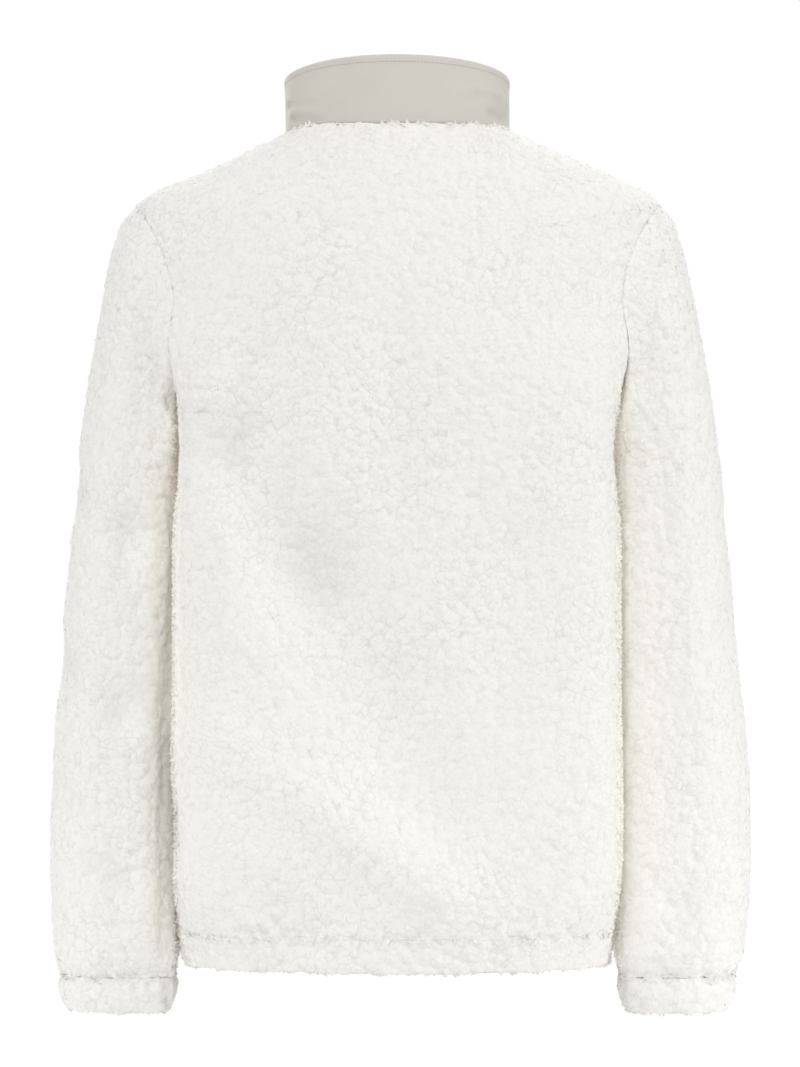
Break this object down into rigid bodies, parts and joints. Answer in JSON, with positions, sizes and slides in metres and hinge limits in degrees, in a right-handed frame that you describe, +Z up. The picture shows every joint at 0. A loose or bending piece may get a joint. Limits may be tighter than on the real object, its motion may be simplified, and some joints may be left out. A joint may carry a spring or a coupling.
{
  "type": "sherpa jacket",
  "caption": "Zipped sherpa-pile jacket with a woven stand collar, long sleeves, elastic cuffs and a casing hem, filled out as if worn.",
  "frame": {"origin": "middle of the neck opening at the height of the shoulders' neck points, where the wearer's shoulders carry the jacket", "axes": "+Z up, the zipped front faces -Y, the wearer's left sleeve is at +X"},
  "size_m": [0.5749, 0.2551, 0.7775],
  "materials": {
    "sherpa": "cream-white looped sherpa pile, matt",
    "nylon": "grey-beige plain woven nylon, soft sheen",
    "zip_tape": "grey-beige woven zip tape",
    "zip_metal": "satin grey-beige coated zip metal"
  },
  "bodies": {
    "jacket": {"back": "sherpa", "front_left": "sherpa", "front_right": "sherpa", "hem_back": "sherpa", "hem_front_left": "sherpa", "hem_front_right": "sherpa", "sleeve_left": "sherpa", "sleeve_right": "sherpa", "cuff_left": "sherpa", "cuff_right": "sherpa", "collar": "nylon", "zip_tape_left": "zip_tape", "zip_tape_right": "zip_tape", "zip_box": "zip_metal", "zip_slider": "zip_metal"},
    "pull": {"zip_pull": "zip_metal"}
  },
  "joints": [
    {"name": "pull_swing", "type": "hinge", "parent": "jacket", "child": "pull", "pos_m": [0, -0.08699, -0.0015], "axis": [-1, 0, 0], "range_deg": [0, 165]}
  ]
}
